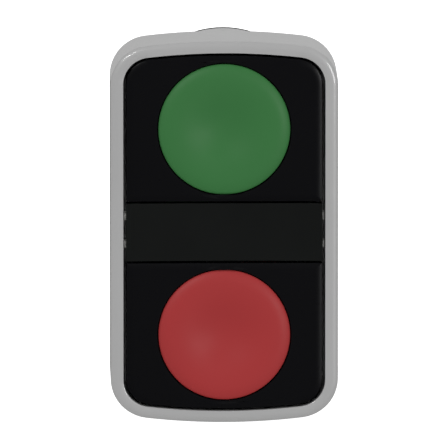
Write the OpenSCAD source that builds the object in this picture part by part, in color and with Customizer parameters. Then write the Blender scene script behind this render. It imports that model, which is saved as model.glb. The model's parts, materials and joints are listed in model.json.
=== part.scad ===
// Double-headed push-button unit for a 22 mm panel hole: a green start button, a red stop
// button and a lamp window in one bezel, with a pull-off carrier of contact blocks behind.
// X points right, Y into the panel and Z up. The origin is where the barrel's axis meets
// the front face of the panel.

/* [Bezel] */
// Width of the bezel
bezel_w = 30; // [29:0.5:36]
// Height of the bezel over its curved ends
bezel_h = 50.9; // [48:0.1:62]
// Radius of the curved ends
end_r = 88; // [60:1:200]
// Radius of the bezel's corners
corner_r = 5.3; // [2:0.1:7]
// Width of the rim in front
rim_w = 1.7; // [1.2:0.1:3]
// Depth of the rectangular part of the bezel
rim_depth = 9.4; // [7:0.1:10]
// Rounding of the bezel's front edge
edge_r = 0.6; // [0.2:0.1:1]
// Wall at the back of the bezel
shelf_t = 1.2; // [0.8:0.1:2]

/* [Buttons] */
// Diameter of each button cap
cap_d = 17.36; // [13:0.01:18]
// Thickness of the cap
cap_t = 1.3; // [1:0.1:2.5]
// How far the cap's face is dished
cap_dish = 0.4; // [0:0.05:0.6]
// Travel of each button
travel = 3; // [2:0.1:4]
// Running gap around the cap
cap_gap = 0.15; // [0.1:0.01:0.3]
// Black land between a button and the end of the opening
end_land = 1.49; // [1:0.01:4]
// Black land between a button and the lamp window
window_land = 1.2; // [0.5:0.01:2]
// Diameter of the push rod
rod_d = 3.2; // [2.4:0.1:4]
// Thickness of the arm between plunger and rod
arm_t = 1.6; // [1:0.1:2.5]
// Width of that arm
arm_w = 5; // [4:0.1:5.4]
// Radial fit of the rod in its guide
rod_fit = 0.05; // [0.02:0.01:0.1]

/* [Window] */
// Gap between the window and the black surrounds
window_gap = 0.28; // [0.15:0.01:0.4]
// Thickness of the lens
lens_t = 1.4; // [1:0.1:2]
// Diameter of the light pipe
pipe_d = 5.2; // [3:0.1:5.4]

/* [Barrel] */
// Diameter of the barrel, for a 22.3 mm hole
barrel_d = 22; // [21:0.1:26.5]
// Wall of the barrel where it passes through the panel
barrel_wall = 1.5; // [1.2:0.1:2]
// Thickest panel that the plain part of the barrel takes
panel_max = 6; // [2:0.5:8]
// Length of the barrel behind the panel face
barrel_l = 17; // [15.5:0.5:22]
// Thickness of the gasket
gasket_t = 0.8; // [0.5:0.1:2]
// Width of the sealing face around the barrel
seal_w = 1.5; // [1.2:0.1:2.5]
// Thickness of the base plate inside the bezel
base_t = 1.2; // [1:0.1:2]

/* [Carrier] */
// Wall of the carrier's collar
collar_wall = 1.2; // [1:0.1:2]
// Thickness of the locking ring
ring_t = 2.4; // [2:0.1:3]
// Number of bayonet lugs
lug_count = 6; // [4:1:8]
// Angle of one lug
lug_angle = 24; // [16:1:26]
// Swing of the locking lever
lock_swing = 30; // [20:1:40]

/* [Contact blocks] */
// Width of one block
block_w = 9; // [9:0.1:11]
// Height of one block
block_h = 30; // [28:0.5:38]
// Depth of one block without its cover
block_l = 21; // [21:0.5:26]
// Wall of the block housings
block_wall = 0.8; // [0.6:0.1:1.2]
// Diameter of the terminal screws' heads
screw_d = 5; // [4:0.1:5.4]

/* [Hidden] */
$fn = 96;

// colours
grey = [0.60, 0.60, 0.60];
black = [0.07, 0.07, 0.08];
green = [0.16, 0.42, 0.20];
red = [0.60, 0.16, 0.16];
steel = [0.72, 0.73, 0.75];
brass = [0.75, 0.62, 0.32];
rubber = [0.04, 0.04, 0.04];

// general clearances
slip = 0.1;
clear = 0.3;
snug = 0.05;

// levels along Y, from the panel forwards
seal_t = 0.8;
seal_lead = 0.2;
base_front = -gasket_t - base_t;
arm_rear = base_front - clear - travel;
arm_front = arm_rear - arm_t;
bushing_end = arm_front - slip;
seal_rear = bushing_end - travel - seal_lead;
seal_front = seal_rear - seal_t;
cap_rear = seal_front - slip;
front = cap_rear - cap_t;
rim_rear = front + rim_depth;
shelf = rim_rear - shelf_t;

// outlines seen from the front
open_w = bezel_w - 2 * rim_w;
open_h = bezel_h - 2 * (rim_w - 0.15);
open_r = corner_r - rim_w;
side_gap = 0.36;
end_gap = 0.45;
barrel_r = barrel_d / 2;
boss_r = barrel_r + seal_w;
boss_z = bezel_h / 2 - boss_r;
seat_r = barrel_r + 0.2;
boss_wall = boss_r - seat_r - snug;
cap_r = cap_d / 2;
bushing_r = cap_r + cap_gap;
button_z = open_h / 2 - end_land - cap_r;
window_z = button_z - cap_r - window_land;
split_z = window_z + window_gap;
window_x = open_w / 2 - side_gap;

// buttons and core
bore_r = barrel_r - barrel_wall;
rod_x = bore_r - 3.2;
rod_r = rod_d / 2;
head_r = cap_r - 0.2;
groove_r = head_r - 0.9;
coil_wire = 0.5;
coil_r = rod_r + slip + clear + coil_wire / 4;
spring_bore_r = coil_r + coil_wire / 2 + 0.15;
lip_r = bore_r - 0.6;
core_front = -gasket_t + snug;
core_rear = barrel_l - 2;
spring_seat = core_rear - 4.5;
clip_t = 0.6;
clip_r = 2.3;
clip_groove_r = rod_r - 0.35;
rod_end = barrel_l + 1;
snap_t = 0.8;
pipe_r = pipe_d / 2;
pipe_end = barrel_l - 1;
guide_t = 2.4;
guide_front = front + lens_t + 0.1;
tab_z = 1.84;
tab_h = 0.83;
tab_front = front + 1.7;

// carrier
tail_r = barrel_r - 0.6;
lug_r = barrel_r - slip;
collar_front = panel_max + 0.4;
ring_front = collar_front + 1.6;
ring_rear = ring_front + ring_t;
lug_front = ring_rear + 0.2;
lug_l = 2;
collar_bore_r = barrel_r + slip;
ring_r = barrel_r + 2.1;
pocket_r = ring_r + clear;
collar_r = pocket_r + collar_wall;
pocket_rear = ring_rear + clear;
frame_front = barrel_l + 0.4;
tip = rod_end + clear;
block_front = tip + travel + 0.6;
frame_rear = block_front - slip;
lever_tilt = lock_swing / 2;
lever_w = 5;
lever_tip = collar_r + 2.6;
rail_t = 1.2;
rail_l = 3.6;

// contact blocks
block_pitch = block_w + 0.2;
block_rear = block_front + block_l;
cover_t = 1;
slider_x0 = block_pitch / 2 + 1.3;
slider_x1 = slider_x0 + 4.4;
slider_x = (slider_x0 + slider_x1) / 2;
slider_h = 4.4;
bridge_w = 3;
bridge_t = 0.6;
bridge_h = 12;
tip_r = 1.2;
tip_t = 0.4;
screw_r = screw_d / 2;
screw_z = block_h / 2 - 4.5;
plate_t = 0.8;
plate_w = 5.2;
plate_y = block_front + 14.1;
plate_in = 4.4;
washer_t = 1;
washer_y = block_rear - 2.7;
wire_r = 1.7;
small_wire = 0.4;
small_coil_r = 1.5;
led_r = 1.9;

// the start block closes when pressed and the stop block opens
start_plate_y = plate_y;
start_bridge_y = start_plate_y - tip_t - travel - slip - tip_t - bridge_t;
stop_plate_y = block_front + 8.1;
stop_bridge_y = stop_plate_y + plate_t + 2 * tip_t + snug;
bridge_spring_l = 3.2;
start_slider_end = start_bridge_y + bridge_t + 2;
stop_slider_end = stop_bridge_y + bridge_t + bridge_spring_l + 1.2;

// ---- shapes ----

// a flat shape drawn in X and Z, from y0 to y1
module slab(y0, y1) {
  translate([0, y1, 0]) rotate([90, 0, 0]) linear_extrude(y1 - y0) children();
}

// a cylinder along Y
module bar(y0, y1, r) {
  translate([0, y0, 0]) rotate([-90, 0, 0]) cylinder(h = y1 - y0, r = r);
}

// a profile of radius and y, turned around the Y axis
module turned() {
  rotate([-90, 0, 0]) rotate_extrude() children();
}

module half_turn() {
  rotate([0, 180, 0]) children();
}

module block(x0, x1, y0, y1, z0, z1) {
  translate([x0, y0, z0]) cube([x1 - x0, y1 - y0, z1 - z0]);
}

// a rectangle with round corners whose two ends bulge to radius bulge
module panel_shape(w, h, r, bulge, fine = 360) {
  corner_x = w / 2 - r;
  corner_z = sqrt(pow(bulge - r, 2) - pow(corner_x, 2)) - (bulge - h / 2);
  touch_x = corner_x * bulge / (bulge - r);
  intersection() {
    square([2 * touch_x, h], center = true);
    translate([0, bulge - h / 2]) circle(bulge, $fn = fine);
    translate([0, h / 2 - bulge]) circle(bulge, $fn = fine);
  }
  square([w, 2 * corner_z], center = true);
  for (sx = [-1, 1], sz = [-1, 1])
    translate([sx * corner_x, sz * corner_z]) circle(r);
}

// a slot with round ends at plus and minus z
module slot_shape(r, z) {
  square([2 * r, 2 * z], center = true);
  for (s = [-1, 1]) translate([0, s * z]) circle(r);
}

// a wedge of the given angle around the middle direction, out to radius r
module wedge(r, middle, angle) {
  polygon([[0, 0], for (a = [-angle / 2, 0, angle / 2])
    r / cos(angle / 2) * [sin(middle + a), cos(middle + a)]]);
}

// a round wire wound into a helix around the Y axis
module coil(r, wire, y0, y1, turns, sides = 6, steps = 14) {
  count = turns * steps;
  first = y0 + wire / 2;
  pitch = (y1 - y0 - wire) / count;
  points = [for (i = [0 : count], k = [0 : sides - 1])
    let (turn = 360 * i / steps, side = 360 * k / sides, out = r + wire / 2 * cos(side))
    [out * cos(turn), first + pitch * i + wire / 2 * sin(side), -out * sin(turn)]];
  walls = [for (i = [0 : count - 1], k = [0 : sides - 1])
    let (a = i * sides + k, b = i * sides + (k + 1) % sides)
    each [[a, b, b + sides], [a, b + sides, a + sides]]];
  start_face = [for (k = [sides - 1 : -1 : 0]) k];
  end_face = [for (k = [0 : sides - 1]) count * sides + k];
  polyhedron(points, concat([start_face], walls, [end_face]), convexity = 10);
}

// ---- head ----

module bezel() color(grey) difference() {
  union() {
    hull() {
      slab(front, front + 0.01) panel_shape(bezel_w - 2 * edge_r, bezel_h - 2 * edge_r,
        corner_r - edge_r, end_r, $fn = 32);
      slab(front + 0.3 * edge_r, front + 0.3 * edge_r + 0.01)
        panel_shape(bezel_w - 0.6 * edge_r, bezel_h - 0.6 * edge_r,
          corner_r - 0.3 * edge_r, end_r, $fn = 32);
      slab(front + edge_r, front + edge_r + 0.01)
        panel_shape(bezel_w, bezel_h, corner_r, end_r, $fn = 32);
    }
    slab(front + edge_r, rim_rear) panel_shape(bezel_w, bezel_h, corner_r, end_r);
    slab(rim_rear - 0.5, -gasket_t) slot_shape(boss_r, boss_z);
  }
  slab(front - 1, shelf) panel_shape(open_w, open_h, open_r, end_r);
  slab(shelf - 1, 1) slot_shape(boss_r - boss_wall, boss_z);
}

module barrel_base() color(black) difference() {
  union() {
    slab(base_front, -gasket_t) slot_shape(barrel_r - 0.05, boss_z);
    bar(base_front, 0, seat_r);
    bar(-0.1, panel_max, barrel_r);
    bar(panel_max - 1, barrel_l, tail_r);
    intersection() {
      bar(lug_front, lug_front + lug_l, lug_r);
      slab(lug_front, lug_front + lug_l)
        for (i = [0 : lug_count - 1]) wedge(2 * lug_r, i * 360 / lug_count, lug_angle);
    }
  }
  bar(base_front - 1, 0, lip_r);
  bar(-gasket_t, barrel_l + 1, bore_r);
  bar(core_rear + snug, core_rear + snap_t + 2 * snug, bore_r + 0.45);
}

module panel_gasket() color(rubber) difference() {
  slab(-gasket_t, 0) slot_shape(boss_r, boss_z);
  bar(-gasket_t - 1, 1, seat_r + snug);
}

// the half of the front insert that carries one button
module surround() color(black) intersection() {
  difference() {
    union() {
      slab(front, front + 1.5)
        panel_shape(open_w - 2 * side_gap, open_h - 2 * end_gap, open_r - 0.3, end_r);
      difference() {
        slab(front, shelf - snug)
          panel_shape(open_w - 2 * side_gap, open_h - 2 * end_gap, open_r - 0.3, end_r);
        slab(front - 1, shelf + 1)
          panel_shape(open_w - 2 * side_gap - 1.6, open_h - 2 * end_gap - 1.6,
            open_r - 1.1, end_r);
      }
      translate([0, 0, button_z]) bar(front + 0.5, bushing_end, bushing_r + 1.1);
    }
    translate([0, 0, button_z]) bar(front - 1, 0, bushing_r);
  }
  block(-window_x, window_x, front - 1, 0, split_z, open_h);
}

module upper_surround() surround();
module lower_surround() half_turn() surround();

module centre_lens() color([0.09, 0.10, 0.10]) {
  block(-window_x, window_x, front, front + lens_t, -window_z, window_z);
}

module light_guide() color([0.85, 0.85, 0.83]) {
  reach = split_z - 0.75;
  block(-window_x + snug, window_x - snug, guide_front, guide_front + guide_t, -reach, reach);
  for (s = [-1, 1]) {
    leg = s * (window_x - 0.8);
    block(leg - 0.75, leg + 0.75, guide_front + 1, shelf - snug, -reach, reach);
    for (z = [-tab_z, tab_z]) {
      tab = s * (open_w / 2 - 0.22);
      block(tab - 0.4 * (s + 1) / 2 - 0.12, tab + 0.4 * (1 - s) / 2 + 0.12,
        tab_front, guide_front + guide_t, z - tab_h / 2, z + tab_h / 2);
    }
  }
  bar(guide_front + 1, pipe_end, pipe_r);
}

module guide_core() color([0.16, 0.16, 0.17]) difference() {
  bar(core_front, core_rear, bore_r - slip);
  bar(core_front - 1, core_rear + 1, pipe_r + 0.3);
  for (s = [-1, 1]) translate([s * rod_x, 0, 0]) {
    bar(core_front - 1, spring_seat, spring_bore_r);
    bar(spring_seat - 1, core_rear + 1, rod_r + rod_fit);
  }
}

module core_snap_ring() color(steel) difference() {
  bar(core_rear + 2 * snug, core_rear + snap_t, bore_r + 0.4);
  bar(core_rear - 1, barrel_l, bore_r - 0.5);
  slab(core_rear - 1, barrel_l) wedge(2 * bore_r, 0, 20);
}

// ---- one button, drawn for the upper one ----

module cap() translate([0, 0, button_z]) turned() polygon([[0, front + cap_dish],
  [cap_r * 0.45, front + cap_dish * 0.8], [cap_r - 0.5, front], [cap_r - 0.12, front + 0.08],
  [cap_r, front + 0.25], [cap_r, cap_rear], [0, cap_rear]]);

module plunger() {
  translate([0, 0, button_z]) difference() {
    bar(cap_rear, arm_rear - 0.3, head_r);
    difference() {
      bar(seal_front, seal_rear, head_r + 1);
      bar(seal_front - 1, seal_rear + 1, groove_r);
    }
  }
  reach = norm([rod_x, button_z]);
  lean = atan2(rod_x, button_z);
  translate([-rod_x, 0, 0]) rotate([0, lean, 0])
    block(-arm_w / 2, arm_w / 2, arm_front, arm_rear, 0, reach);
  translate([-rod_x, 0, 0]) {
    bar(arm_front - snug, arm_rear + snug, arm_w / 2 + 0.3);
    bar(arm_rear, core_rear, rod_r);
    bar(core_rear, core_rear + clip_t + 2 * snug, clip_groove_r);
    bar(core_rear + clip_t + 2 * snug, rod_end, rod_r);
  }
}

module lip_seal() color(rubber) translate([0, 0, button_z]) turned() polygon([
  [groove_r + snug, seal_front + snug], [head_r - 0.3, seal_front + snug],
  [bushing_r - 0.03, seal_front + 0.15], [bushing_r - 0.03, seal_front + 0.4],
  [head_r - 0.3, seal_rear - snug], [groove_r + snug, seal_rear - snug]]);

module return_spring() color(steel)
  translate([-rod_x, 0, 0]) coil(coil_r, coil_wire, arm_rear + snug, spring_seat, 9);

module clip() color(steel) translate([-rod_x, 0, 0]) difference() {
  bar(core_rear + snug, core_rear + snug + clip_t, clip_r);
  bar(core_rear - 1, rod_end, clip_groove_r + snug);
  slab(core_rear - 1, rod_end) translate([-1, -clip_r * 2]) square([2, clip_r * 2]);
}

module green_cap() color(green) cap();
module green_plunger() color(green) plunger();
module green_lip_seal() lip_seal();
module green_return_spring() return_spring();
module green_clip() clip();
module red_cap() color(red) half_turn() cap();
module red_plunger() color(red) half_turn() plunger();
module red_lip_seal() half_turn() lip_seal();
module red_return_spring() half_turn() return_spring();
module red_clip() half_turn() clip();

// ---- carrier ----

module contact_carrier() color([0.10, 0.10, 0.11]) difference() {
  frame_x = 1.5 * block_pitch;
  union() {
    bar(collar_front, frame_front + 0.5, collar_r);
    block(-frame_x, frame_x, frame_front, frame_rear, -block_h / 2, block_h / 2);
    for (s = [-1, 1]) {
      rail = s * (block_h / 2 + 0.15 + rail_t / 2);
      block(-frame_x, frame_x, frame_front, frame_rear + rail_l,
        rail - rail_t / 2 - 0.2 * (1 + s) / 2, rail + rail_t / 2 + 0.2 * (1 - s) / 2);
    }
  }
  // space for the blocks between the rails
  block(-frame_x - 1, frame_x + 1, frame_rear, frame_rear + rail_l + 1,
    -block_h / 2 - 0.15, block_h / 2 + 0.15);
  bar(collar_front - 1, frame_rear + 1, collar_bore_r);
  bar(collar_front - 1, pocket_rear, pocket_r);
  // window for the lever
  slab(ring_front - clear, pocket_rear)
    wedge(2 * collar_r, 0, 2 * (lever_tilt + asin(lever_w / 2 / collar_r)) + 4);
}

module carrier_front_ring() color([0.10, 0.10, 0.11]) difference() {
  bar(collar_front, ring_front - clear, pocket_r - snug);
  bar(collar_front - 1, ring_front, barrel_r + 0.4);
}

module locking_ring() color([0.20, 0.21, 0.23]) {
  difference() {
    bar(ring_front, ring_rear, ring_r);
    bar(ring_front - 1, ring_rear + 1, barrel_r + snug);
  }
  intersection() {
    difference() {
      bar(ring_front, ring_rear, ring_r - 0.5);
      bar(ring_front - 1, ring_rear + 1, tail_r + slip);
    }
    slab(ring_front, ring_rear)
      for (i = [0 : lug_count - 1])
        wedge(2 * ring_r, (i + 0.5) * 360 / lug_count, lug_angle);
  }
}

module lock_lever() color([0.80, 0.42, 0.10]) rotate([0, lever_tilt, 0]) {
  block(-lever_w / 2, lever_w / 2, ring_front, ring_rear, ring_r + snug, lever_tip);
  block(-lever_w / 2, lever_w / 2, ring_front - 1, ring_rear, collar_r + clear, lever_tip);
}

// ---- blocks, drawn on the right of the middle ----

module box_shell(x, hole_w, hole_h, hole_x) difference() {
  x0 = x - block_w / 2;
  x1 = x + block_w / 2;
  block(x0, x1, block_front, block_rear, -block_h / 2, block_h / 2);
  block(x0 + block_wall, x1 - block_wall, block_front + block_wall, block_rear + 1,
    -block_h / 2 + block_wall, block_h / 2 - block_wall);
  block(hole_x - hole_w / 2, hole_x + hole_w / 2, block_front - 1, block_front + 2,
    -hole_h / 2, hole_h / 2);
  for (s = [-1, 1]) translate([x, (plate_y + plate_t + washer_y) / 2, s * block_h / 2])
    cylinder(h = 4 * block_wall, r = wire_r, center = true);
}

module box_cover(x) difference() {
  union() {
    block(x - block_w / 2, x + block_w / 2, block_rear, block_rear + cover_t,
      -block_h / 2, block_h / 2);
    block(x - block_w / 2 + block_wall + slip, x + block_w / 2 - block_wall - slip,
      block_rear - 1, block_rear, -screw_z + screw_r + 0.6, screw_z - screw_r - 0.6);
  }
  for (s = [-1, 1]) translate([x, 0, s * screw_z])
    bar(block_rear - 2, block_rear + 2, screw_r + 0.2);
}

module screws(x) color(steel) for (s = [-1, 1]) translate([x, 0, s * screw_z]) difference() {
  union() {
    bar(washer_y + washer_t + snug, block_rear + cover_t - 0.3, screw_r);
    bar(plate_y - 2, washer_y + washer_t + 0.2, 1.4);
  }
  block(-screw_r - 1, screw_r + 1, block_rear + cover_t - 1.2, block_rear + cover_t,
    -0.4, 0.4);
  block(-0.4, 0.4, block_rear + cover_t - 1.2, block_rear + cover_t,
    -screw_r * 0.6, screw_r * 0.6);
}

module washers(x) color(brass) for (s = [-1, 1]) translate([x, 0, s * screw_z]) difference() {
  block(-plate_w / 2, plate_w / 2, washer_y, washer_y + washer_t, -2.9, 2.9);
  bar(washer_y - 1, washer_y + washer_t + 1, 1.4 + slip);
}

// fixed contacts: the screw plate, stepped forward to inner_y, with a contact on one face
module terminals(x, inner_y, contact_side) color(brass) for (s = [-1, 1]) {
  z_out = block_h / 2 - block_wall - slip;
  z_step = screw_z - 3.4;
  scale([1, 1, s]) difference() {
    union() {
      block(x - plate_w / 2, x + plate_w / 2, plate_y, plate_y + plate_t, z_step, z_out);
      block(x - plate_w / 2, x + plate_w / 2, inner_y, plate_y + plate_t,
        z_step, z_step + plate_t);
      block(slider_x - bridge_w / 2, slider_x + bridge_w / 2, inner_y, inner_y + plate_t,
        plate_in - tip_r, z_step + plate_t);
      if (contact_side != 0)
        translate([slider_x, 0, plate_in])
          bar(contact_side < 0 ? inner_y - tip_t : inner_y + plate_t - snug,
            contact_side < 0 ? inner_y + snug : inner_y + plate_t + tip_t, tip_r);
    }
    translate([x, 0, screw_z]) bar(plate_y - 1, plate_y + plate_t + 1, 1.4 + snug);
  }
}

module slider(window_y0, window_y1, end_y) difference() {
  block(slider_x0, slider_x1, tip, end_y, -slider_h / 2, slider_h / 2);
  block(slider_x - bridge_w / 2 - 0.2, slider_x + bridge_w / 2 + 0.2,
    window_y0, window_y1, -slider_h, slider_h);
}

module bridge(y, contact_side) color(brass) {
  block(slider_x - bridge_w / 2, slider_x + bridge_w / 2, y, y + bridge_t,
    -bridge_h / 2, bridge_h / 2);
  for (s = [-1, 1]) translate([slider_x, 0, s * plate_in])
    bar(contact_side < 0 ? y - tip_t : y + bridge_t - snug,
      contact_side < 0 ? y + snug : y + bridge_t + tip_t, tip_r);
}

module small_spring(y0, y1, turns) color(steel)
  translate([slider_x, 0, 0]) coil(small_coil_r - 0.3, small_wire, y0, y1, turns, 5, 12);

module stop_housing() color([0.62, 0.14, 0.13]) box_shell(block_pitch,
  slider_x1 - slider_x0 + 0.3, slider_h + 0.3, slider_x);
module stop_cover() color([0.55, 0.12, 0.11]) box_cover(block_pitch);
module stop_slider() color([0.86, 0.85, 0.80])
  slider(stop_bridge_y - slip, stop_bridge_y + bridge_t + bridge_spring_l, stop_slider_end);
module stop_bridge() bridge(stop_bridge_y, -1);
module stop_bridge_spring() small_spring(stop_bridge_y + bridge_t,
  stop_bridge_y + bridge_t + bridge_spring_l, 5);
module stop_slider_spring() small_spring(stop_slider_end, block_rear - 1, 4);
module stop_terminals() terminals(block_pitch, stop_plate_y, 1);
module stop_screws() screws(block_pitch);
module stop_washers() washers(block_pitch);

module start_housing() color([0.15, 0.40, 0.20]) half_turn() box_shell(block_pitch,
  slider_x1 - slider_x0 + 0.3, slider_h + 0.3, slider_x);
module start_cover() color([0.12, 0.34, 0.17]) half_turn() box_cover(block_pitch);
module start_slider() color([0.86, 0.85, 0.80]) half_turn() slider(
  start_bridge_y - bridge_spring_l, start_bridge_y + bridge_t + slip, start_slider_end);
module start_bridge() half_turn() bridge(start_bridge_y, 1);
module start_bridge_spring() half_turn() small_spring(start_bridge_y - bridge_spring_l,
  start_bridge_y, 5);
module start_slider_spring() half_turn() small_spring(start_slider_end, block_rear - 1, 6);
module start_terminals() half_turn() terminals(block_pitch, start_plate_y, -1);
module start_screws() half_turn() screws(block_pitch);
module start_washers() half_turn() washers(block_pitch);

module lamp_housing() color([0.85, 0.85, 0.83]) difference() {
  box_shell(0, 1, 1, 0);
  bar(block_front - 1, block_front + 2, led_r + 0.2);
}
module lamp_cover() color([0.78, 0.78, 0.76]) box_cover(0);
board_front = block_front + 2.2;
board_x = 1.2;
module lamp_board() color([0.05, 0.30, 0.14])
  block(board_x, board_x + 1, board_front, plate_y - 1, -9, 9);
module lamp_led() color([0.95, 0.95, 0.90]) {
  bar(tip, board_front - snug, led_r);
  translate([0, tip, 0]) sphere(led_r);
}
module lamp_terminals() color(brass) for (s = [-1, 1]) scale([1, 1, s]) {
  z_out = block_h / 2 - block_wall - slip;
  z_step = screw_z - 3.4;
  difference() {
    block(-plate_w / 2, plate_w / 2, plate_y, plate_y + plate_t, z_step, z_out);
    translate([0, 0, screw_z]) bar(plate_y - 1, plate_y + plate_t + 1, 1.4 + snug);
  }
  block(board_x + 0.1, board_x + 0.9, plate_y - 0.95, plate_y, z_step, z_step + 1.6);
}
module lamp_screws() screws(0);
module lamp_washers() washers(0);

bezel();
barrel_base();
panel_gasket();
upper_surround();
lower_surround();
centre_lens();
light_guide();
guide_core();
core_snap_ring();
green_cap();
green_plunger();
green_lip_seal();
green_return_spring();
green_clip();
red_cap();
red_plunger();
red_lip_seal();
red_return_spring();
red_clip();
contact_carrier();
carrier_front_ring();
locking_ring();
lock_lever();
start_housing();
start_cover();
start_slider();
start_bridge();
start_bridge_spring();
start_slider_spring();
start_terminals();
start_screws();
start_washers();
stop_housing();
stop_cover();
stop_slider();
stop_bridge();
stop_bridge_spring();
stop_slider_spring();
stop_terminals();
stop_screws();
stop_washers();
lamp_housing();
lamp_cover();
lamp_board();
lamp_led();
lamp_terminals();
lamp_screws();
lamp_washers();
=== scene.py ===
import json
import math

import bmesh
import bpy
from mathutils import Matrix, Vector


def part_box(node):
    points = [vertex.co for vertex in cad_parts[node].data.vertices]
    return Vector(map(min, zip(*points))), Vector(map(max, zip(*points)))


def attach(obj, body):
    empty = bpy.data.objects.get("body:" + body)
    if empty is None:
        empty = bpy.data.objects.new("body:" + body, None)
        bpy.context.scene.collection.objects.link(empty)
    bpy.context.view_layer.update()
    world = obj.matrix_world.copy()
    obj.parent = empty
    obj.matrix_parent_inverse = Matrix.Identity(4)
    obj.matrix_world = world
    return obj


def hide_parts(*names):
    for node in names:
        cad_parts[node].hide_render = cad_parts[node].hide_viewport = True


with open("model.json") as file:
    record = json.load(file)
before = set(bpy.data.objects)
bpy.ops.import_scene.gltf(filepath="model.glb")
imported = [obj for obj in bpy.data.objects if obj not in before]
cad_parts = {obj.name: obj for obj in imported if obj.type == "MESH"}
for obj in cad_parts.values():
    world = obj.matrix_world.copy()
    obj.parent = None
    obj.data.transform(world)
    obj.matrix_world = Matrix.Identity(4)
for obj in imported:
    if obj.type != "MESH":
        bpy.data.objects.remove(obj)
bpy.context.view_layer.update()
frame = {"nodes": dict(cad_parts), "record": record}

# Looks of a double-headed push-button unit: a green and a red cap in black surrounds, a smoked
# window between them, a grey bezel, and contact blocks on a carrier behind the panel.
# Metres, X right, Y into the panel, Z up.

MM = 0.001
NODES = frame["nodes"]
HALF_TURN = Matrix.Rotation(math.pi, 4, "Y")


# ---------------------------------------------------------------- driving sizes

bezel_lo, bezel_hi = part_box("bezel")
FRONT = bezel_lo.y
BOSS_REAR = bezel_hi.y
WIDTH = bezel_hi.x - bezel_lo.x
HEIGHT = bezel_hi.z - bezel_lo.z
END_R = 88 * MM
CORNER_R = 5.3 * MM
RIM_W = 1.7 * MM
END_RIM = 1.55 * MM
RIM_DEPTH = 9.4 * MM
RIM_REAR = FRONT + RIM_DEPTH
BACK_PLATE = 1.2 * MM
SHELF = RIM_REAR - BACK_PLATE
OPEN_W = WIDTH - 2 * RIM_W
OPEN_H = HEIGHT - 2 * END_RIM
OPEN_R = CORNER_R - RIM_W

cap_lo, cap_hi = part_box("green_cap")
CAP_R = (cap_hi.x - cap_lo.x) / 2
CAP_Z = (cap_lo.z + cap_hi.z) / 2
CAP_REAR = cap_hi.y
BUSHING_R = CAP_R + 0.15 * MM
insert_lo, insert_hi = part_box("upper_surround")
BUSHING_END = insert_hi.y
lens_lo, lens_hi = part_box("centre_lens")

gasket_lo, gasket_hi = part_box("panel_gasket")
BOSS_R = (gasket_hi.x - gasket_lo.x) / 2
BOSS_Z = HEIGHT / 2 - BOSS_R
BARREL_R = 11 * MM

carrier_lo, carrier_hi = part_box("contact_carrier")
ring_lo, ring_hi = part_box("locking_ring")
COVER_T = 1 * MM
SCREW_R = 2.5 * MM
WIRE_R = 1.7 * MM


# ---------------------------------------------------------------- shared shader effects

def new_group(name, inputs, outputs):
    group = bpy.data.node_groups.new(name, "ShaderNodeTree")
    for label, kind, value in inputs:
        socket = group.interface.new_socket(label, in_out="INPUT", socket_type=kind)
        socket.default_value = value
    for label, kind in outputs:
        group.interface.new_socket(label, in_out="OUTPUT", socket_type=kind)
    return group, group.nodes.new("NodeGroupInput"), group.nodes.new("NodeGroupOutput")


def noise(group, coordinates, scale, detail=2.0, roughness=0.5):
    node = group.nodes.new("ShaderNodeTexNoise")
    node.inputs["Detail"].default_value = detail
    node.inputs["Roughness"].default_value = roughness
    group.links.new(coordinates, node.inputs["Vector"])
    if isinstance(scale, float):
        node.inputs["Scale"].default_value = scale
    else:
        group.links.new(scale, node.inputs["Scale"])
    return node.outputs["Fac"]


def remap(group, value, low, high):
    """Stretches value so that low gives 0 and high gives 1."""
    node = group.nodes.new("ShaderNodeMapRange")
    group.links.new(value, node.inputs["Value"])
    node.inputs["From Min"].default_value = low
    node.inputs["From Max"].default_value = high
    return node.outputs["Result"]


def sums(group, operation, first, second):
    node = group.nodes.new("ShaderNodeMath")
    node.operation = operation
    for socket, value in zip(node.inputs, (first, second)):
        if isinstance(value, float):
            socket.default_value = value
        else:
            group.links.new(value, socket)
    return node.outputs[0]


def colour_mix(group, amount, first, second):
    node = group.nodes.new("ShaderNodeMix")
    node.data_type = "RGBA"
    group.links.new(amount, node.inputs["Factor"])
    group.links.new(first, node.inputs["A"])
    group.links.new(second, node.inputs["B"])
    return node.outputs["Result"]


def bump(group, height, depth):
    node = group.nodes.new("ShaderNodeBump")
    node.inputs["Strength"].default_value = 1.0
    group.links.new(depth, node.inputs["Distance"])
    group.links.new(height, node.inputs["Height"])
    return node.outputs["Normal"]


def rubbed_edges():
    """Broken-up mask of the edges that fingers and tools rub."""
    group, come, go = new_group("rubbed_edges", [
        ("Reach", "NodeSocketFloat", 0.00025),
        ("Amount", "NodeSocketFloat", 0.4),
    ], [("Mask", "NodeSocketFloat")])
    rounded = group.nodes.new("ShaderNodeBevel")
    rounded.samples = 4
    group.links.new(come.outputs["Reach"], rounded.inputs["Radius"])
    plain = group.nodes.new("ShaderNodeNewGeometry")
    facing = group.nodes.new("ShaderNodeVectorMath")
    facing.operation = "DOT_PRODUCT"
    group.links.new(rounded.outputs["Normal"], facing.inputs[0])
    group.links.new(plain.outputs["Normal"], facing.inputs[1])
    edge = remap(group, facing.outputs["Value"], 0.99, 0.85)
    place = group.nodes.new("ShaderNodeTexCoord").outputs["Object"]
    patches = remap(group, noise(group, place, 700.0, detail=3.0), 0.42, 0.62)
    worn = sums(group, "MULTIPLY", sums(group, "MULTIPLY", edge, patches), come.outputs["Amount"])
    group.links.new(worn, go.inputs["Mask"])
    return group


def worn_mask(group, amount):
    effect = group.nodes.new("ShaderNodeGroup")
    effect.node_tree = EDGES
    group.links.new(amount, effect.inputs["Amount"])
    return effect.outputs["Mask"]


SURFACE = [("Colour", "NodeSocketColor"), ("Roughness", "NodeSocketFloat"),
           ("Normal", "NodeSocketVector")]


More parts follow.
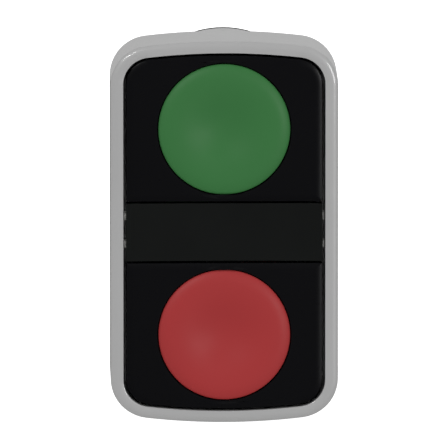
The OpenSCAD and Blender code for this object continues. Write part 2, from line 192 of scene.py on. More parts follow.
def moulded_grain():
    """Moulded plastic or rubber: spark-eroded grain, cloudy colour and uneven gloss."""
    group, come, go = new_group("moulded_grain", [
        ("Colour", "NodeSocketColor", (0.5, 0.5, 0.5, 1)),
        ("Cloud Colour", "NodeSocketColor", (0.4, 0.4, 0.4, 1)),
        ("Cloud Scale", "NodeSocketFloat", 120.0),
        ("Grain Scale", "NodeSocketFloat", 5000.0),
        ("Grain Depth", "NodeSocketFloat", 0.00001),
        ("Roughness", "NodeSocketFloat", 0.45),
        ("Gloss Spread", "NodeSocketFloat", 0.06),
        ("Worn Colour", "NodeSocketColor", (0.6, 0.6, 0.6, 1)),
        ("Wear", "NodeSocketFloat", 0.35),
    ], SURFACE)
    place = group.nodes.new("ShaderNodeTexCoord").outputs["Object"]
    clouds = noise(group, place, come.outputs["Cloud Scale"], detail=3.0)
    cloud = remap(group, clouds, 0.35, 0.65)
    tint = colour_mix(group, cloud, come.outputs["Colour"], come.outputs["Cloud Colour"])
    worn = worn_mask(group, come.outputs["Wear"])
    group.links.new(colour_mix(group, worn, tint, come.outputs["Worn Colour"]), go.inputs["Colour"])
    grain = noise(group, place, come.outputs["Grain Scale"], detail=1.0)
    fine = noise(group, place, 900.0, detail=2.0)
    uneven = sums(group, "SUBTRACT", sums(group, "ADD", fine, clouds), 1.0)
    gloss = sums(group, "ADD", come.outputs["Roughness"],
                 sums(group, "MULTIPLY", uneven, come.outputs["Gloss Spread"]))
    gloss = sums(group, "SUBTRACT", gloss, sums(group, "MULTIPLY", worn, 0.15))
    group.links.new(gloss, go.inputs["Roughness"])
    group.links.new(bump(group, grain, come.outputs["Grain Depth"]), go.inputs["Normal"])
    return group


def worked_metal():
    """Drawn, stamped or plated metal: fine streaks, tarnish spots and uneven polish."""
    group, come, go = new_group("worked_metal", [
        ("Colour", "NodeSocketColor", (0.6, 0.6, 0.6, 1)),
        ("Tarnish Colour", "NodeSocketColor", (0.3, 0.3, 0.3, 1)),
        ("Tarnish", "NodeSocketFloat", 0.3),
        ("Streak Scale", "NodeSocketFloat", 900.0),
        ("Streak Depth", "NodeSocketFloat", 0.000006),
        ("Roughness", "NodeSocketFloat", 0.3),
        ("Worn Colour", "NodeSocketColor", (0.8, 0.8, 0.8, 1)),
        ("Wear", "NodeSocketFloat", 0.6),
    ], SURFACE)
    place = group.nodes.new("ShaderNodeTexCoord").outputs["Object"]
    stretch = group.nodes.new("ShaderNodeMapping")
    stretch.inputs["Scale"].default_value = (4.0, 1.0, 0.3)
    group.links.new(place, stretch.inputs["Vector"])
    streaks = noise(group, stretch.outputs["Vector"], come.outputs["Streak Scale"], detail=3.0)
    spots = remap(group, noise(group, place, 350.0, detail=4.0, roughness=0.6), 0.45, 0.7)
    dull = sums(group, "MULTIPLY", spots, come.outputs["Tarnish"])
    tint = colour_mix(group, dull, come.outputs["Colour"], come.outputs["Tarnish Colour"])
    worn = worn_mask(group, come.outputs["Wear"])
    group.links.new(colour_mix(group, worn, tint, come.outputs["Worn Colour"]), go.inputs["Colour"])
    shine = sums(group, "ADD", come.outputs["Roughness"],
                 sums(group, "MULTIPLY", sums(group, "ADD", dull, streaks), 0.15))
    group.links.new(shine, go.inputs["Roughness"])
    group.links.new(bump(group, streaks, come.outputs["Streak Depth"]), go.inputs["Normal"])
    return group


EDGES = rubbed_edges()
GRAIN = moulded_grain()
METAL = worked_metal()


def surface(name, group, values, **plain):
    """A material whose colour, roughness and normal come from a shared group."""
    material = bpy.data.materials.new(name)
    material.use_nodes = True
    tree = material.node_tree
    shader = tree.nodes["Principled BSDF"]
    effect = tree.nodes.new("ShaderNodeGroup")
    effect.node_tree = group
    for label, value in values.items():
        effect.inputs[label].default_value = value
    tree.links.new(effect.outputs["Colour"], shader.inputs["Base Color"])
    tree.links.new(effect.outputs["Roughness"], shader.inputs["Roughness"])
    tree.links.new(effect.outputs["Normal"], shader.inputs["Normal"])
    for label, value in plain.items():
        shader.inputs[label.replace("_", " ")].default_value = value
    return material


def shade(colour, factor=1.0):
    return tuple(c * factor for c in colour) + (1.0,)


def plastic(name, colour, cloud=0.93, roughness=0.45, depth=0.008, spread=0.08, wear=0.3, **plain):
    """Moulding in one colour. Cloud darkens its patches, and depth in mm is its grain's."""
    worn = tuple(0.75 * c + 0.06 for c in colour)
    return surface(name, GRAIN, {
        "Colour": shade(colour), "Cloud Colour": shade(colour, cloud), "Cloud Scale": 110.0,
        "Grain Scale": 5000.0, "Grain Depth": depth * MM, "Roughness": roughness,
        "Gloss Spread": spread, "Worn Colour": shade(worn), "Wear": wear}, **plain)


def metal(name, colour, tarnish_colour, tarnish, roughness):
    worn = tuple(min(1.0, 1.2 * c) for c in colour)
    return surface(name, METAL, {
        "Colour": shade(colour), "Tarnish Colour": shade(tarnish_colour), "Tarnish": tarnish,
        "Streak Scale": 900.0, "Streak Depth": 0.004 * MM, "Roughness": roughness,
        "Worn Colour": shade(worn), "Wear": 0.6}, Metallic=1.0)


FINISH = {
    "bezel_grey": plastic("bezel_grey_satin", (0.43, 0.43, 0.43), cloud=0.97, roughness=0.36,
                          depth=0.003, wear=0.12, Coat_Weight=0.6, Coat_Roughness=0.08),
    "black_plastic": plastic("surround_black", (0.0042, 0.0042, 0.0052), roughness=0.28,
                             depth=0.003, spread=0.04, wear=0.05, Specular_IOR_Level=0.1),
    "gasket_rubber": plastic("gasket_rubber", (0.006, 0.006, 0.006), roughness=0.8, depth=0.012,
                             wear=0.03, Specular_IOR_Level=0.0),
    "green_plastic": plastic("cap_green", (0.043, 0.182, 0.052), cloud=0.97, roughness=0.4,
                             depth=0.003, wear=0.1, Specular_IOR_Level=0.12),
    "red_plastic": plastic("cap_red", (0.395, 0.037, 0.038), cloud=0.97, roughness=0.4,
                           depth=0.003, wear=0.1, Specular_IOR_Level=0.12),
    "window_dark": plastic("window_smoked", (0.0088, 0.0096, 0.0092), cloud=0.9, roughness=0.22,
                           depth=0.001, spread=0.03, wear=0.05, Specular_IOR_Level=0.1),
    "diffuser_white": plastic("diffuser_milky", (0.75, 0.75, 0.72), roughness=0.5, depth=0.004),
    "core_plastic": plastic("core_black", (0.02, 0.02, 0.022), roughness=0.5),
    "spring_steel": metal("spring_wire", (0.62, 0.62, 0.64), (0.3, 0.28, 0.26), 0.25, 0.22),
    "screw_steel": metal("screw_zinc", (0.66, 0.67, 0.69), (0.4, 0.38, 0.33), 0.35, 0.28),
    "contact_brass": metal("contact_brass", (0.72, 0.5, 0.2), (0.35, 0.2, 0.08), 0.5, 0.3),
    "carrier_black": plastic("carrier_black", (0.016, 0.016, 0.018), roughness=0.55, depth=0.012),
    "ring_grey": plastic("ring_grey", (0.06, 0.065, 0.07), roughness=0.5),
    "lever_orange": plastic("lever_orange", (0.66, 0.17, 0.015), roughness=0.4),
    "housing_green": plastic("housing_green", (0.018, 0.13, 0.045), roughness=0.5, depth=0.012),
    "housing_red": plastic("housing_red", (0.34, 0.02, 0.018), roughness=0.5, depth=0.012),
    "housing_white": plastic("housing_white", (0.55, 0.55, 0.52), roughness=0.5, depth=0.012),
    "slider_ivory": plastic("slider_ivory", (0.66, 0.62, 0.5), roughness=0.4),
    "board_green": plastic("board_lacquer", (0.01, 0.09, 0.03), cloud=0.75, roughness=0.25),
    "led_clear": plastic("lamp_epoxy", (0.7, 0.7, 0.62), roughness=0.12, depth=0.001),
}
NODE_SLOT = {row["node"]: row["material_slot"] for row in frame["record"]["subparts"]}
NODE_BODY = {node: body for body, nodes in frame["record"]["behaviour"]["bodies"].items()
             for node in nodes}

for node, thing in NODES.items():
    thing.data.materials.clear()
    thing.data.materials.append(FINISH[NODE_SLOT[node]])


# ---------------------------------------------------------------- mesh tools

SHARP = math.radians(32)
WELD = 0.0005 * MM
CURVE_STEPS = 12


def as_object(name, bm):
    """Hands a bmesh over to an object of its own."""
    mesh = bpy.data.meshes.new(name)
    bm.to_mesh(mesh)
    bm.free()
    thing = bpy.data.objects.new(name, mesh)
    bpy.context.scene.collection.objects.link(thing)
    return thing


def finish_piece(name, bm, node, weighted=True):
    """Turns a bmesh into a piece that stands for a CAD node and rides on its body."""
    bmesh.ops.remove_doubles(bm, verts=bm.verts, dist=WELD)
    bmesh.ops.dissolve_degenerate(bm, edges=bm.edges, dist=WELD)
    bmesh.ops.recalc_face_normals(bm, faces=bm.faces)
    for face in bm.faces:
        face.smooth = True
    for edge in bm.edges:
        if len(edge.link_faces) == 2:
            edge.smooth = edge.calc_face_angle(0.0) < SHARP
    piece = as_object(name, bm)
    piece.data.materials.append(FINISH[NODE_SLOT[node]])
    if weighted:
        even = piece.modifiers.new("even_normals", "WEIGHTED_NORMAL")
        even.keep_sharp = True
    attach(piece, NODE_BODY[node])
    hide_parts(node)


def solid_of(bm):
    """A closed bmesh as a loose object, for cutting."""
    bmesh.ops.remove_doubles(bm, verts=bm.verts, dist=WELD)
    bmesh.ops.recalc_face_normals(bm, faces=bm.faces)
    return as_object("solid", bm)


def combine(body, others, operation="DIFFERENCE"):
    """Cuts others from body, or joins them to it, and gives the result as a bmesh."""
    base = solid_of(body)
    tools = [solid_of(other) for other in others]
    for tool in tools:
        step = base.modifiers.new("step", "BOOLEAN")
        step.operation = operation
        step.solver = "EXACT"
        step.object = tool
    seen = base.evaluated_get(bpy.context.evaluated_depsgraph_get())
    result = bmesh.new()
    result.from_mesh(seen.to_mesh())
    seen.to_mesh_clear()
    for thing in (base, *tools):
        mesh = thing.data
        bpy.data.objects.remove(thing)
        bpy.data.meshes.remove(mesh)
    return result


def joined(parts):
    """Several bmeshes as one, each still a closed shell of its own."""
    whole = bmesh.new()
    for part in parts:
        mesh = bpy.data.meshes.new("part")
        part.to_mesh(mesh)
        part.free()
        whole.from_mesh(mesh)
        bpy.data.meshes.remove(mesh)
    return whole


def turned(profile, centre=(0.0, 0.0), steps=120):
    """A closed outline of (radius, y) points spun around an axis along Y."""
    bm = bmesh.new()
    x, z = centre
    points = [bm.verts.new((x + radius, y, z)) for radius, y in profile]
    edges = [bm.edges.new(pair) for pair in zip(points, points[1:] + points[:1])]
    bmesh.ops.spin(bm, geom=points + edges, cent=(x, 0, z), axis=(0, 1, 0), angle=2 * math.pi,
                   steps=steps, use_merge=True)
    bmesh.ops.remove_doubles(bm, verts=bm.verts, dist=WELD)
    on_axis = [e for e in bm.edges if not e.link_faces]
    bmesh.ops.delete(bm, geom=on_axis, context="EDGES")
    bmesh.ops.recalc_face_normals(bm, faces=bm.faces)
    return bm


def rounded_box(lo, hi, radius, segments=2):
    """A block between two corners, its edges rounded, or sharp where radius is 0."""
    bm = bmesh.new()
    bmesh.ops.create_cube(bm, size=1.0)
    lo, hi = Vector(lo), Vector(hi)
    size = hi - lo
    bmesh.ops.scale(bm, vec=size, verts=bm.verts)
    bmesh.ops.translate(bm, vec=(lo + hi) / 2, verts=bm.verts)
    if radius:
        bmesh.ops.bevel(bm, geom=bm.edges[:], offset=min(radius, min(size) * 0.45), affect="EDGES",
                        segments=segments, profile=0.5, material=-1)
    return bm


def loft(rings, closed=False):
    """Skins rings of points with equal counts, and caps the ends or joins the last to the first."""
    bm = bmesh.new()
    verts = [bm.verts.new(p) for p in rings[0]]
    edges = [bm.edges.new(pair) for pair in zip(verts, verts[1:] + verts[:1])]
    if not closed:
        bm.faces.new(verts)
    number = {v: i for i, v in enumerate(verts)}
    for ring in rings[1:] + ([rings[0]] if closed else []):
        made = bmesh.ops.extrude_edge_only(bm, edges=edges)["geom"]
        fresh = {g for g in made if isinstance(g, bmesh.types.BMVert)}
        following = {}
        for v in fresh:
            old = next(e.other_vert(v) for e in v.link_edges if e.other_vert(v) in number)
            following[v] = number[old]
        for v, i in following.items():
            v.co = ring[i]
        edges = [g for g in made if isinstance(g, bmesh.types.BMEdge)
                 and g.verts[0] in fresh and g.verts[1] in fresh]
        number = following
    if not closed:
        order = sorted(number, key=number.get)
        bm.faces.new(order)
    bmesh.ops.remove_doubles(bm, verts=bm.verts, dist=WELD)
    bmesh.ops.recalc_face_normals(bm, faces=bm.faces)
    return bm


def around(quarter, top):
    """A whole outline from its first quarter, which runs from the side up to just before top."""
    right = list(quarter)
    left = [(-x, z) for x, z in reversed(right)]
    upper = right + [top] + left
    return upper + [(-x, -z) for x, z in upper]


def panel_outline(inset, w=WIDTH, h=HEIGHT, corner=CORNER_R):
    """The bezel's outline, with round corners and ends that bulge, moved inwards by inset."""
    steps = CURVE_STEPS
    w, h, corner, bulge = w - 2 * inset, h - 2 * inset, max(corner - inset, 0.2 * MM), END_R - inset
    corner_x = w / 2 - corner
    corner_z = math.sqrt((bulge - corner) ** 2 - corner_x ** 2) - (bulge - h / 2)
    turn = math.asin(corner_x / (bulge - corner))
    quarter = []
    for i in range(steps + 1):
        a = math.pi / 2 + (turn - math.pi / 2) * i / steps
        quarter.append((corner_x + corner * math.sin(a), corner_z + corner * math.cos(a)))
    for i in range(1, steps):
        a = turn * (1 - i / steps)
        quarter.append((bulge * math.sin(a), h / 2 - bulge + bulge * math.cos(a)))
    return around(quarter, (0.0, h / 2))


def slot_outline(r):
    """The boss's straight sides and half-round ends, with as many points as panel_outline."""
    count = 2 * CURVE_STEPS
    angles = [math.pi / 2 * i / count for i in range(count)]
    quarter = [(r * math.cos(a), BOSS_Z + r * math.sin(a)) for a in angles]
    return around(quarter, (0.0, BOSS_Z + r))


def circle_outline(r, like, centre):
    """A circle with a point in the direction of each point of another outline."""
    cx, cz = centre
    result = []
    for x, z in like:
        away = Vector((x - cx, z - cz)).normalized()
        result.append((cx + r * away.x, cz + r * away.y))
    return result


def at(outline, y):
    return [(x, y, z) for x, z in outline]


def fillet(radius, count, depth=None):
    """Pairs (inset, depth) that round an edge from its side onto the face in front."""
    depth = depth or radius
    pairs = []
    for i in range(count + 1):
        a = math.pi / 2 * i / count
        pairs.append((radius * (1 - math.cos(a)), depth * (1 - math.sin(a))))
    return pairs


def moved(bm, matrix):
    bmesh.ops.transform(bm, matrix=matrix, verts=bm.verts)
    return bm


# ---------------------------------------------------------------- bezel and inserts

def bezel():
    """Grey rim with a flat front, a shelf behind its opening and the boss at the rear."""
    edge = 0.9 * MM
    lip = 0.06 * MM
    rings = [at(panel_outline(s), RIM_REAR - d) for s, d in reversed(fillet(0.12 * MM, 2))]
    rings += [at(panel_outline(s), FRONT + d) for s, d in fillet(edge, 12, 0.4 * MM)]

    def opening(grow):
        return panel_outline(-grow, OPEN_W, OPEN_H, OPEN_R)
    rings += [at(opening(lip - s), FRONT + d) for s, d in
              [(0.0, 0.0), (0.6 * lip, 0.3 * lip), (lip, lip)]]
    rings.append(at(opening(0.0), SHELF))
    inner = slot_outline(BOSS_R - 1.35 * MM)
    rings += [at(inner, SHELF), at(inner, BOSS_REAR)]
    outer = slot_outline(BOSS_R)
    rings += [at(outer, BOSS_REAR), at(outer, RIM_REAR)]
    finish_piece("bezel_shell", loft(rings, closed=True), "bezel")


def surround(name, node, turn):
    """Black insert around one button, with the bushing that guides its cap."""
    split = insert_lo.z
    side = insert_hi.x - 0.06 * MM
    top = insert_hi.z - 0.08 * MM
    corner = OPEN_R - 0.3 * MM
    centre = (0.0, CAP_Z)

    def outline(inset):
        whole = panel_outline(inset, 2 * side, 2 * top, corner)
        upper = [p for p in whole if p[1] > split + inset + 0.4 * MM]
        low, x, nip = split + inset, side - inset, 0.1 * MM
        steps = 30
        rise = [low + nip + (upper[0][1] - low - nip) * i / steps for i in range(1, steps)]
        right, left = [], []
        for i in range(5):
            a = math.pi / 2 * i / 4
            right.append((x - nip + nip * math.sin(a), low + nip - nip * math.cos(a)))
            left.append((-x + nip - nip * math.cos(a), low + nip - nip * math.sin(a)))
        right += [(x, z) for z in rise]
        left = [(-x, z) for z in reversed(rise)] + left
        span = 2 * (x - nip)
        across = 64
        floor = [(-x + nip + span * i / across, low) for i in range(1, across)]
        return upper + left + floor + right

    shape = outline(0.0)
    hole = circle_outline(BUSHING_R, shape, centre)
    hole_soft = circle_outline(BUSHING_R + 0.07 * MM, shape, centre)
    land = circle_outline(BUSHING_R + 0.45 * MM, shape, centre)
    wall = circle_outline(BUSHING_R + 1.1 * MM, shape, centre)
    crown = 0.1 * MM
    face = FRONT + 0.2 * MM
    rings = [at(hole, BUSHING_END), at(hole, face + 0.08 * MM)]
    rings += [at(hole_soft, face + 0.01 * MM), at(land, face)]
    rings += [at(outline(s), face + d) for s, d in
              [(0.9 * MM, 0.0), (0.06 * MM, 0.01 * MM), (0.02 * MM, 0.03 * MM), (0.0, 0.07 * MM)]]
    rings += [at(shape, BUSHING_END)]
    skirt = outline(0.8 * MM)
    inside = FRONT + 1.5 * MM
    rings += [at(skirt, BUSHING_END), at(skirt, inside)]
    rings += [at(wall, inside + crown), at(wall, BUSHING_END)]
    bm = loft(rings, closed=True)
    if turn:
        moved(bm, HALF_TURN)
    finish_piece(name, bm, node)


def cap(name, node, turn):
    """Round finger cap: a shallow dish inside a raised ring that rolls off to the edge."""
    crest, slope, roll = 0.8, math.radians(12.0), math.radians(24.0)
    edge = 0.06 * MM
    steps = 40
    levels, height = [], 0.0
    for i in range(steps + 1):
        part = i / steps
        if part < crest:
            tilt = slope * math.sin(math.pi * part / crest) ** 1.2
        else:
            tilt = -roll * ((part - crest) / (1 - crest)) ** 1.3
        height += math.tan(tilt) * (CAP_R - edge) / steps
        levels.append((part * (CAP_R - edge), height))
    top = max(height for radius, height in levels)
    face = [(radius, FRONT + top - height) for radius, height in levels]
    profile = [(0.0, CAP_REAR), (CAP_R - 0.1 * MM, CAP_REAR), (CAP_R, CAP_REAR - 0.1 * MM),
               (CAP_R, face[-1][1] + edge)] + face[::-1]
    bm = turned(profile, (0.0, CAP_Z), 144)
    if turn:
        moved(bm, HALF_TURN)
    finish_piece(name, bm, node)


def window():
    """Smoked snap-in window, a little hollow across its width."""
    recess_side, recess_mid = 0.1 * MM, 0.42 * MM
    bm = rounded_box(lens_lo, lens_hi, 0.05 * MM)
    strips = 20
    for i in range(1, strips):
        cut = (lens_lo.x + (lens_hi.x - lens_lo.x) * i / strips, 0, 0)
        bmesh.ops.bisect_plane(bm, geom=bm.verts[:] + bm.edges[:] + bm.faces[:], plane_co=cut,
                               plane_no=(1, 0, 0))
    half = (lens_hi.x - lens_lo.x) / 2
    middle_y = (lens_lo.y + lens_hi.y) / 2
    for v in bm.verts:
        if v.co.y < middle_y:
            v.co.y += recess_mid + (recess_side - recess_mid) * (v.co.x / half) ** 2
    finish_piece("smoked_window", bm, "centre_lens")


def gasket():
    """Flat gasket under the boss, with a shallow groove near its edge."""
    outer = slot_outline(BOSS_R)
    soft = 0.05 * MM
    y0, y1 = gasket_lo.y, gasket_hi.y
    rings = [at(outer, y0)]
    rings += [at(slot_outline(BOSS_R - s), y1 - d) for s, d in fillet(soft, 3)]
    groove, groove_depth = 0.6 * MM, 0.15 * MM
    rings += [at(slot_outline(BOSS_R - groove), y1),
              at(slot_outline(BOSS_R - groove - 0.1 * MM), y1 - groove_depth),
              at(slot_outline(BOSS_R - groove - 0.3 * MM), y1 - groove_depth),
              at(slot_outline(BOSS_R - groove - 0.4 * MM), y1)]
    hole_r = BARREL_R + 0.25 * MM
    hole = turned([(0.0, y0 - MM), (hole_r, y0 - MM), (hole_r, y1 + MM), (0.0, y1 + MM)])
    finish_piece("gasket_ring", combine(loft(rings), [hole]), "panel_gasket")


# ---------------------------------------------------------------- springs

def spring(name, node, radius, wire, turns):
    """Round wire swept along a helix between the ends of its CAD node."""
    lo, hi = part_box(node)
    x = (lo.x + hi.x) / 2
    steps = 28
    rise = (hi.y - lo.y - wire) / (turns * steps)
    bm = bmesh.new()
    made = bmesh.ops.create_circle(bm, cap_ends=True, radius=wire / 2, segments=10)
    bmesh.ops.translate(bm, vec=(x + radius, lo.y + wire / 2, 0), verts=made["verts"])
    end = bm.faces[:][0]
    bmesh.ops.spin(bm, geom=[end, *end.edges, *end.verts], cent=(x, 0, 0), axis=(0, -1, 0),
                   dvec=(0, rise, 0), angle=2 * math.pi * turns, steps=turns * steps,
                   use_duplicate=False)
    finish_piece(name, bm, node, weighted=False)


# ---------------------------------------------------------------- carrier and blocks

def carrier():
    """Collar, frame and rails in one moulding, with grip ribs round the collar."""
    lo, hi = carrier_lo, carrier_hi
    collar_r = 14.6 * MM
    bore_r = BARREL_R + 0.1 * MM
    pocket_r = 13.4 * MM
    pocket_rear = ring_hi.y + 0.3 * MM
    frame_front = 17.4 * MM
    frame_rear = hi.y - 3.6 * MM
    rail_in = 15.15 * MM
    frame_x = 13.8 * MM
    collar = turned([(bore_r, frame_rear + MM), (bore_r, pocket_rear), (pocket_r, pocket_rear),
                     (pocket_r, lo.y + 0.2 * MM), (pocket_r + 0.2 * MM, lo.y),
                     (collar_r - 0.4 * MM, lo.y), (collar_r - 0.1 * MM, lo.y + 0.15 * MM),
                     (collar_r, lo.y + 0.45 * MM), (collar_r, frame_front + 0.5 * MM),
                     (bore_r + 2 * MM, frame_front + 0.5 * MM), (bore_r + 2 * MM, frame_rear + MM)])
    plate = rounded_box((-frame_x, frame_front, -hi.z), (frame_x, hi.y, hi.z), 0.5 * MM, 3)
    space = rounded_box((-frame_x - MM, frame_rear, -rail_in),
                        (frame_x + MM, hi.y + MM, rail_in), 0)
    inside = turned([(0.0, frame_front - MM), (bore_r + 1.5 * MM, frame_front - MM),
                     (bore_r + 1.5 * MM, frame_rear + 2 * MM), (0.0, frame_rear + 2 * MM)])
    plate = combine(plate, [space, inside])
    bore = turned([(0.0, lo.y - MM), (bore_r, lo.y - MM), (bore_r, hi.y), (0.0, hi.y)])
    # the wedge-shaped window that the lever swings in
    sweep = math.radians(26.5)
    far = 2 * collar_r
    spread = far * math.tan(sweep)
    window_front = ring_lo.y - 0.3 * MM
    gap = bmesh.new()
    gap.faces.new([gap.verts.new((x, window_front, z))
                   for x, z in ((-spread, far), (0.0, 0.0), (spread, far))])
    made = bmesh.ops.extrude_face_region(gap, geom=gap.faces[:])["geom"]
    bmesh.ops.translate(gap, vec=(0, pocket_rear - window_front, 0),
                        verts=[g for g in made if isinstance(g, bmesh.types.BMVert)])
    block_back = turned([(0.0, frame_rear), (bore_r + 3 * MM, frame_rear),
                         (bore_r + 3 * MM, frame_rear + 2 * MM), (0.0, frame_rear + 2 * MM)],
                        steps=60)
    body = combine(combine(collar, [plate], "UNION"), [bore, gap, block_back])
    ribs = []
    count, clear, half = 40, 0.1, 0.35 * MM
    for i in range(count):
        angle = 2 * math.pi * i / count
        if abs(math.remainder(angle, 2 * math.pi)) < sweep + clear:
            continue
        rib = rounded_box((-half, lo.y + 1.2 * MM, collar_r - 0.3 * MM),
                          (half, frame_front - 1.2 * MM, collar_r + 0.22 * MM), 0.15 * MM)
        ribs.append(moved(rib, Matrix.Rotation(angle, 4, "Y")))
    finish_piece("carrier_moulding", joined([body, *ribs]), "contact_carrier")


def lever():
    """Locking lever with a ribbed thumb pad."""
    lo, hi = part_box("lock_lever")
    tilt = math.radians(15)
    ring_r = 13.1 * MM
    half = 2.5 * MM
    tip = 17.2 * MM
    arm = rounded_box((0.1 * MM - half, ring_lo.y + 0.05 * MM, ring_r + 0.05 * MM),
                      (half - 0.1 * MM, ring_hi.y - 0.1 * MM, tip - 0.3 * MM), 0.25 * MM, 3)
    pad = rounded_box((-half, lo.y, 14.95 * MM), (half, ring_hi.y, tip), 0.35 * MM, 3)
    ribs = [rounded_box((x * MM - 0.22 * MM, lo.y + 0.1 * MM, 15.6 * MM),
                        (x * MM + 0.22 * MM, ring_hi.y - 0.5 * MM, tip + 0.2 * MM), 0.12 * MM)
            for x in (-1.5, -0.5, 0.5, 1.5)]
    body = moved(joined([arm, pad, *ribs]), Matrix.Rotation(tilt, 4, "Y"))
    finish_piece("thumb_lever", body, "lock_lever")


def wire_holes(x, y, z, radius):
    """Funnel-mouthed holes through both ends of a block."""
    tools = []
    for s in (-1, 1):
        hole = bmesh.new()
        bmesh.ops.create_cone(hole, cap_ends=True, segments=40, radius1=radius, radius2=radius,
                              depth=6 * MM)
        tools.append(moved(hole, Matrix.Translation((x, y, s * z))))
        cone = bmesh.new()
        bmesh.ops.create_cone(cone, cap_ends=True, segments=40, radius1=radius - 0.3 * MM,
                              radius2=radius + 0.9 * MM, depth=1.2 * MM)
        flip = Matrix.Identity(4) if s > 0 else Matrix.Rotation(math.pi, 4, "X")
        tools.append(moved(cone, Matrix.Translation((x, y, s * (z - 0.05 * MM))) @ flip))
    return tools


def housing(prefix, outer_side):
    """Block housing: thin-walled box with wire holes, a latch and side recesses."""
    node = prefix + "_housing"
    lo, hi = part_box(node)
    wall = 0.8 * MM
    x = (lo.x + hi.x) / 2
    shell = rounded_box(lo, hi, 0.35 * MM, 3)
    hollow = rounded_box((lo.x + wall, lo.y + wall, lo.z + wall),
                         (hi.x - wall, hi.y + MM, hi.z - wall), 0)
    # a wire goes in midway between its terminal plate and the cover
    plate_rear, cover_front = lo.y + 14.9 * MM, hi.y - 2.7 * MM
    tools = [hollow, *wire_holes(x, (plate_rear + cover_front) / 2, hi.z, WIRE_R)]
    if prefix == "lamp":
        tools.append(turned([(0.0, lo.y - MM), (2.1 * MM, lo.y - MM), (2.1 * MM, lo.y + 2 * MM),
                             (0.0, lo.y + 2 * MM)], (x, 0.0), 48))
    else:
        s_lo, s_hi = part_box(prefix + "_slider")
        gap = 0.15 * MM
        tools.append(rounded_box((s_lo.x - gap, lo.y - MM, s_lo.z - gap),
                                 (s_hi.x + gap, lo.y + 2 * MM, s_hi.z + gap), 0))
    if outer_side:
        face = hi.x if outer_side > 0 else lo.x
        a, b = sorted((face - outer_side * 0.3 * MM, face + outer_side * MM))
        for z0, z1 in ((-11.5, -6.2), (-5.2, 5.2), (6.2, 11.5)):
            tools.append(rounded_box((a, lo.y + 4 * MM, z0 * MM),
                                     (b, hi.y - 4.2 * MM, z1 * MM), 0.25 * MM))
    body = combine(shell, tools)
    ribs = []
    half_w, half_h = 2.6 * MM, 0.2 * MM
    for s in (-1, 1):
        a, b = sorted((s * (hi.z - 0.1 * MM), s * (hi.z + 0.12 * MM)))
        for k in range(3):
            y = hi.y - (1.2 + 0.9 * k) * MM
            ribs.append(rounded_box((x - half_w, y - half_h, a), (x + half_w, y + half_h, b),
                                    0.08 * MM))
    finish_piece(prefix + "_case", joined([body, *ribs]), node)


def cover(prefix):
    """Rear cover with bevelled screw wells and a framed marking field."""
    node = prefix + "_cover"
    lo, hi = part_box(node)
    face_front = hi.y - COVER_T
    x = (lo.x + hi.x) / 2
    screw_z = hi.z - 4.5 * MM
    plate = rounded_box((lo.x, face_front, lo.z), (hi.x, hi.y, hi.z), 0.3 * MM, 3)
    plug_z = screw_z - 3.1 * MM
    plug = rounded_box((lo.x + 0.9 * MM, lo.y, -plug_z),
                       (hi.x - 0.9 * MM, face_front + 0.3 * MM, plug_z), 0.1 * MM)
    well_r = SCREW_R + 0.2 * MM
    mouth_y = hi.y + 0.05 * MM
    wells = [turned([(0.0, face_front - MM), (well_r, face_front - MM),
                     (well_r, hi.y - 0.35 * MM), (well_r + 0.4 * MM, mouth_y), (0.0, mouth_y)],
                    (x, s * screw_z), 64) for s in (-1, 1)]
    field = rounded_box((x - 3 * MM, hi.y - 0.25 * MM, -4.5 * MM),
                        (x + 3 * MM, hi.y + MM, 4.5 * MM), 0.2 * MM)
    body = combine(combine(plate, [plug], "UNION"), [*wells, field])
    tag = rounded_box((x - 2.6 * MM, hi.y - 0.35 * MM, -4.1 * MM),
                      (x + 2.6 * MM, hi.y - 0.1 * MM, 4.1 * MM), 0.1 * MM)
    finish_piece(prefix + "_back", joined([body, tag]), node)


def screws(prefix):
    """Two terminal screws with cross and slot recesses."""
    node = prefix + "_screws"
    lo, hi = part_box(node)
    x = (lo.x + hi.x) / 2
    screw_z = hi.z - SCREW_R
    parts = []
    thread_r, root_r, pitch = 1.4 * MM, 1.15 * MM, 0.5 * MM
    base = hi.y - 2 * MM
    outline = [(0.0, lo.y), (1.0 * MM, lo.y), (1.3 * MM, lo.y + 0.4 * MM)]
    y = lo.y + 0.6 * MM
    while y < base - 0.6 * MM:
        outline += [(root_r, y), (thread_r, y + pitch / 2)]
        y += pitch
    outline += [(thread_r, base + 0.05 * MM), (SCREW_R - 0.15 * MM, base + 0.05 * MM),
                (SCREW_R, base + 0.25 * MM), (SCREW_R, hi.y - 0.35 * MM),
                (SCREW_R - 0.1 * MM, hi.y - 0.1 * MM), (SCREW_R - 0.35 * MM, hi.y), (0.0, hi.y)]
    deep = hi.y - 1.1 * MM
    for s in (-1, 1):
        z = s * screw_z
        shank = turned(outline, (x, z), 40)
        slot = rounded_box((x - 3 * MM, hi.y - 0.7 * MM, z - 0.3 * MM),
                           (x + 3 * MM, hi.y + MM, z + 0.3 * MM), 0)
        cross = [rounded_box((x - a, deep, z - b), (x + a, hi.y + MM, z + b), 0)
                 for a, b in ((0.32 * MM, 1.45 * MM), (1.45 * MM, 0.32 * MM))]
        tilt = (Matrix.Translation((x, 0, z)) @ Matrix.Rotation(0.35 + 0.5 * s, 4, "Y")
                @ Matrix.Translation((-x, 0, -z)))
        parts.append(combine(shank, [moved(t, tilt) for t in (slot, *cross)]))
    finish_piece(prefix + "_terminal_screws", joined(parts), node)


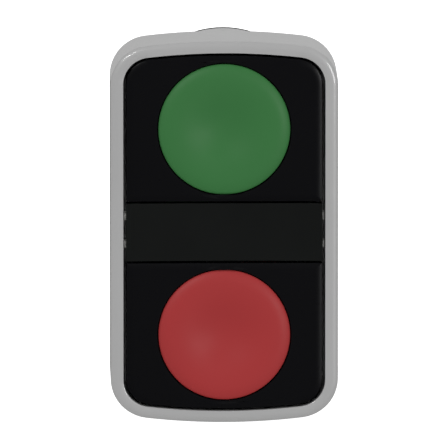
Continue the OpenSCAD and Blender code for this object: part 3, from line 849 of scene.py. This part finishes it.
bezel()
surround("upper_insert", "upper_surround", False)
surround("lower_insert", "lower_surround", True)
cap("green_button_cap", "green_cap", False)
cap("red_button_cap", "red_cap", True)
window()
gasket()
spring("green_coil", "green_return_spring", 2.125 * MM, 0.5 * MM, 9)
spring("red_coil", "red_return_spring", 2.125 * MM, 0.5 * MM, 9)
for prefix, turns in (("start", 6), ("stop", 4)):
    spring(prefix + "_contact_coil", prefix + "_bridge_spring", 1.2 * MM, 0.4 * MM, 5)
    spring(prefix + "_slider_coil", prefix + "_slider_spring", 1.2 * MM, 0.4 * MM, turns)
carrier()
lever()
for prefix, outer_side in (("start", -1), ("lamp", 0), ("stop", 1)):
    housing(prefix, outer_side)
    cover(prefix)
    screws(prefix)


# ---------------------------------------------------------------- stage, light and camera

def plain_floor():
    """White floor just under the unit, seen by the camera alone."""
    bm = bmesh.new()
    bmesh.ops.create_grid(bm, x_segments=1, y_segments=1, size=3.0)
    bmesh.ops.translate(bm, vec=(0, 0, bezel_lo.z - 0.2 * MM), verts=bm.verts)
    floor = as_object("floor", bm)
    material = bpy.data.materials.new("pale_floor")
    material.use_nodes = True
    shader = material.node_tree.nodes["Principled BSDF"]
    shader.inputs["Base Color"].default_value = (0.6, 0.6, 0.6, 1)
    shader.inputs["Roughness"].default_value = 0.9
    shader.inputs["Emission Color"].default_value = (1, 1, 1, 1)
    shader.inputs["Emission Strength"].default_value = 0.98
    floor.data.materials.append(material)
    floor.visible_diffuse = False
    floor.visible_glossy = False
    floor.visible_shadow = False


def white_world():
    """White to the eye, with an even soft fill and a weaker reflection."""
    fill, reflected, seen = 0.78, 0.1, 1.0
    world = bpy.data.worlds.new("studio")
    world.use_nodes = True
    bpy.context.scene.world = world
    tree = world.node_tree
    tree.nodes.clear()
    out = tree.nodes.new("ShaderNodeOutputWorld")
    path = tree.nodes.new("ShaderNodeLightPath")
    layers = []
    for strength in (fill, reflected, seen):
        layer = tree.nodes.new("ShaderNodeBackground")
        layer.inputs["Color"].default_value = (1, 1, 1, 1)
        layer.inputs["Strength"].default_value = strength
        layers.append(layer.outputs["Background"])
    shown = layers[0]
    for ray, layer in (("Is Glossy Ray", layers[1]), ("Is Camera Ray", layers[2])):
        mix = tree.nodes.new("ShaderNodeMixShader")
        tree.links.new(path.outputs[ray], mix.inputs["Fac"])
        tree.links.new(shown, mix.inputs[1])
        tree.links.new(layer, mix.inputs[2])
        shown = mix.outputs["Shader"]
    tree.links.new(shown, out.inputs["Surface"])
    world.cycles.sampling_method = "NONE"


def softbox(name, direction, power, size, glossy=True, diffuse=True):
    """A rectangular light that faces the object from a direction."""
    distance = 1.2
    data = bpy.data.lights.new(name, "AREA")
    data.energy = power
    data.shape = "RECTANGLE"
    data.size, data.size_y = size
    lamp = bpy.data.objects.new(name, data)
    bpy.context.scene.collection.objects.link(lamp)
    away = Vector(direction).normalized()
    lamp.location = away * distance
    lamp.rotation_mode = "QUATERNION"
    lamp.rotation_quaternion = (-away).to_track_quat("-Z", "Y")
    lamp.visible_camera = False
    lamp.visible_glossy = glossy
    lamp.visible_diffuse = diffuse


def camera():
    """Long lens from a little above and a little left, framed on the front face."""
    # span is how much the picture takes in across, where the lens is aimed
    azimuth, elevation = math.radians(-1.0), math.radians(9.8)
    lens, sensor = 1200.0, 36.0
    span = 59.0 * MM
    aim = Vector((-0.05 * MM, FRONT, 1.15 * MM))
    data = bpy.data.cameras.new("camera")
    data.lens = lens
    data.sensor_width = sensor
    distance = span * lens / sensor
    data.clip_start, data.clip_end = 0.05, 10.0
    eye = bpy.data.objects.new("camera", data)
    bpy.context.scene.collection.objects.link(eye)
    back = Vector((math.sin(azimuth) * math.cos(elevation),
                   -math.cos(azimuth) * math.cos(elevation),
                   math.sin(elevation)))
    eye.location = aim + back * distance
    eye.rotation_mode = "QUATERNION"
    eye.rotation_quaternion = (-back).to_track_quat("-Z", "Y")
    bpy.context.scene.camera = eye


plain_floor()
white_world()
softbox("overhead", (0.0, -0.545, 0.84), 2.8, (0.25, 0.25), glossy=False)
softbox("left_glint", (-0.38, -0.84, 0.39), 3.4, (0.36, 0.12), diffuse=False)
softbox("right_glint", (0.47, -0.88, 0.02), 3.4, (0.12, 0.36), diffuse=False)
softbox("rear_glow", (0.0, 0.97, 0.25), 2.1, (1.6, 1.0), diffuse=False)
camera()
bpy.context.scene.view_settings.view_transform = "Standard"
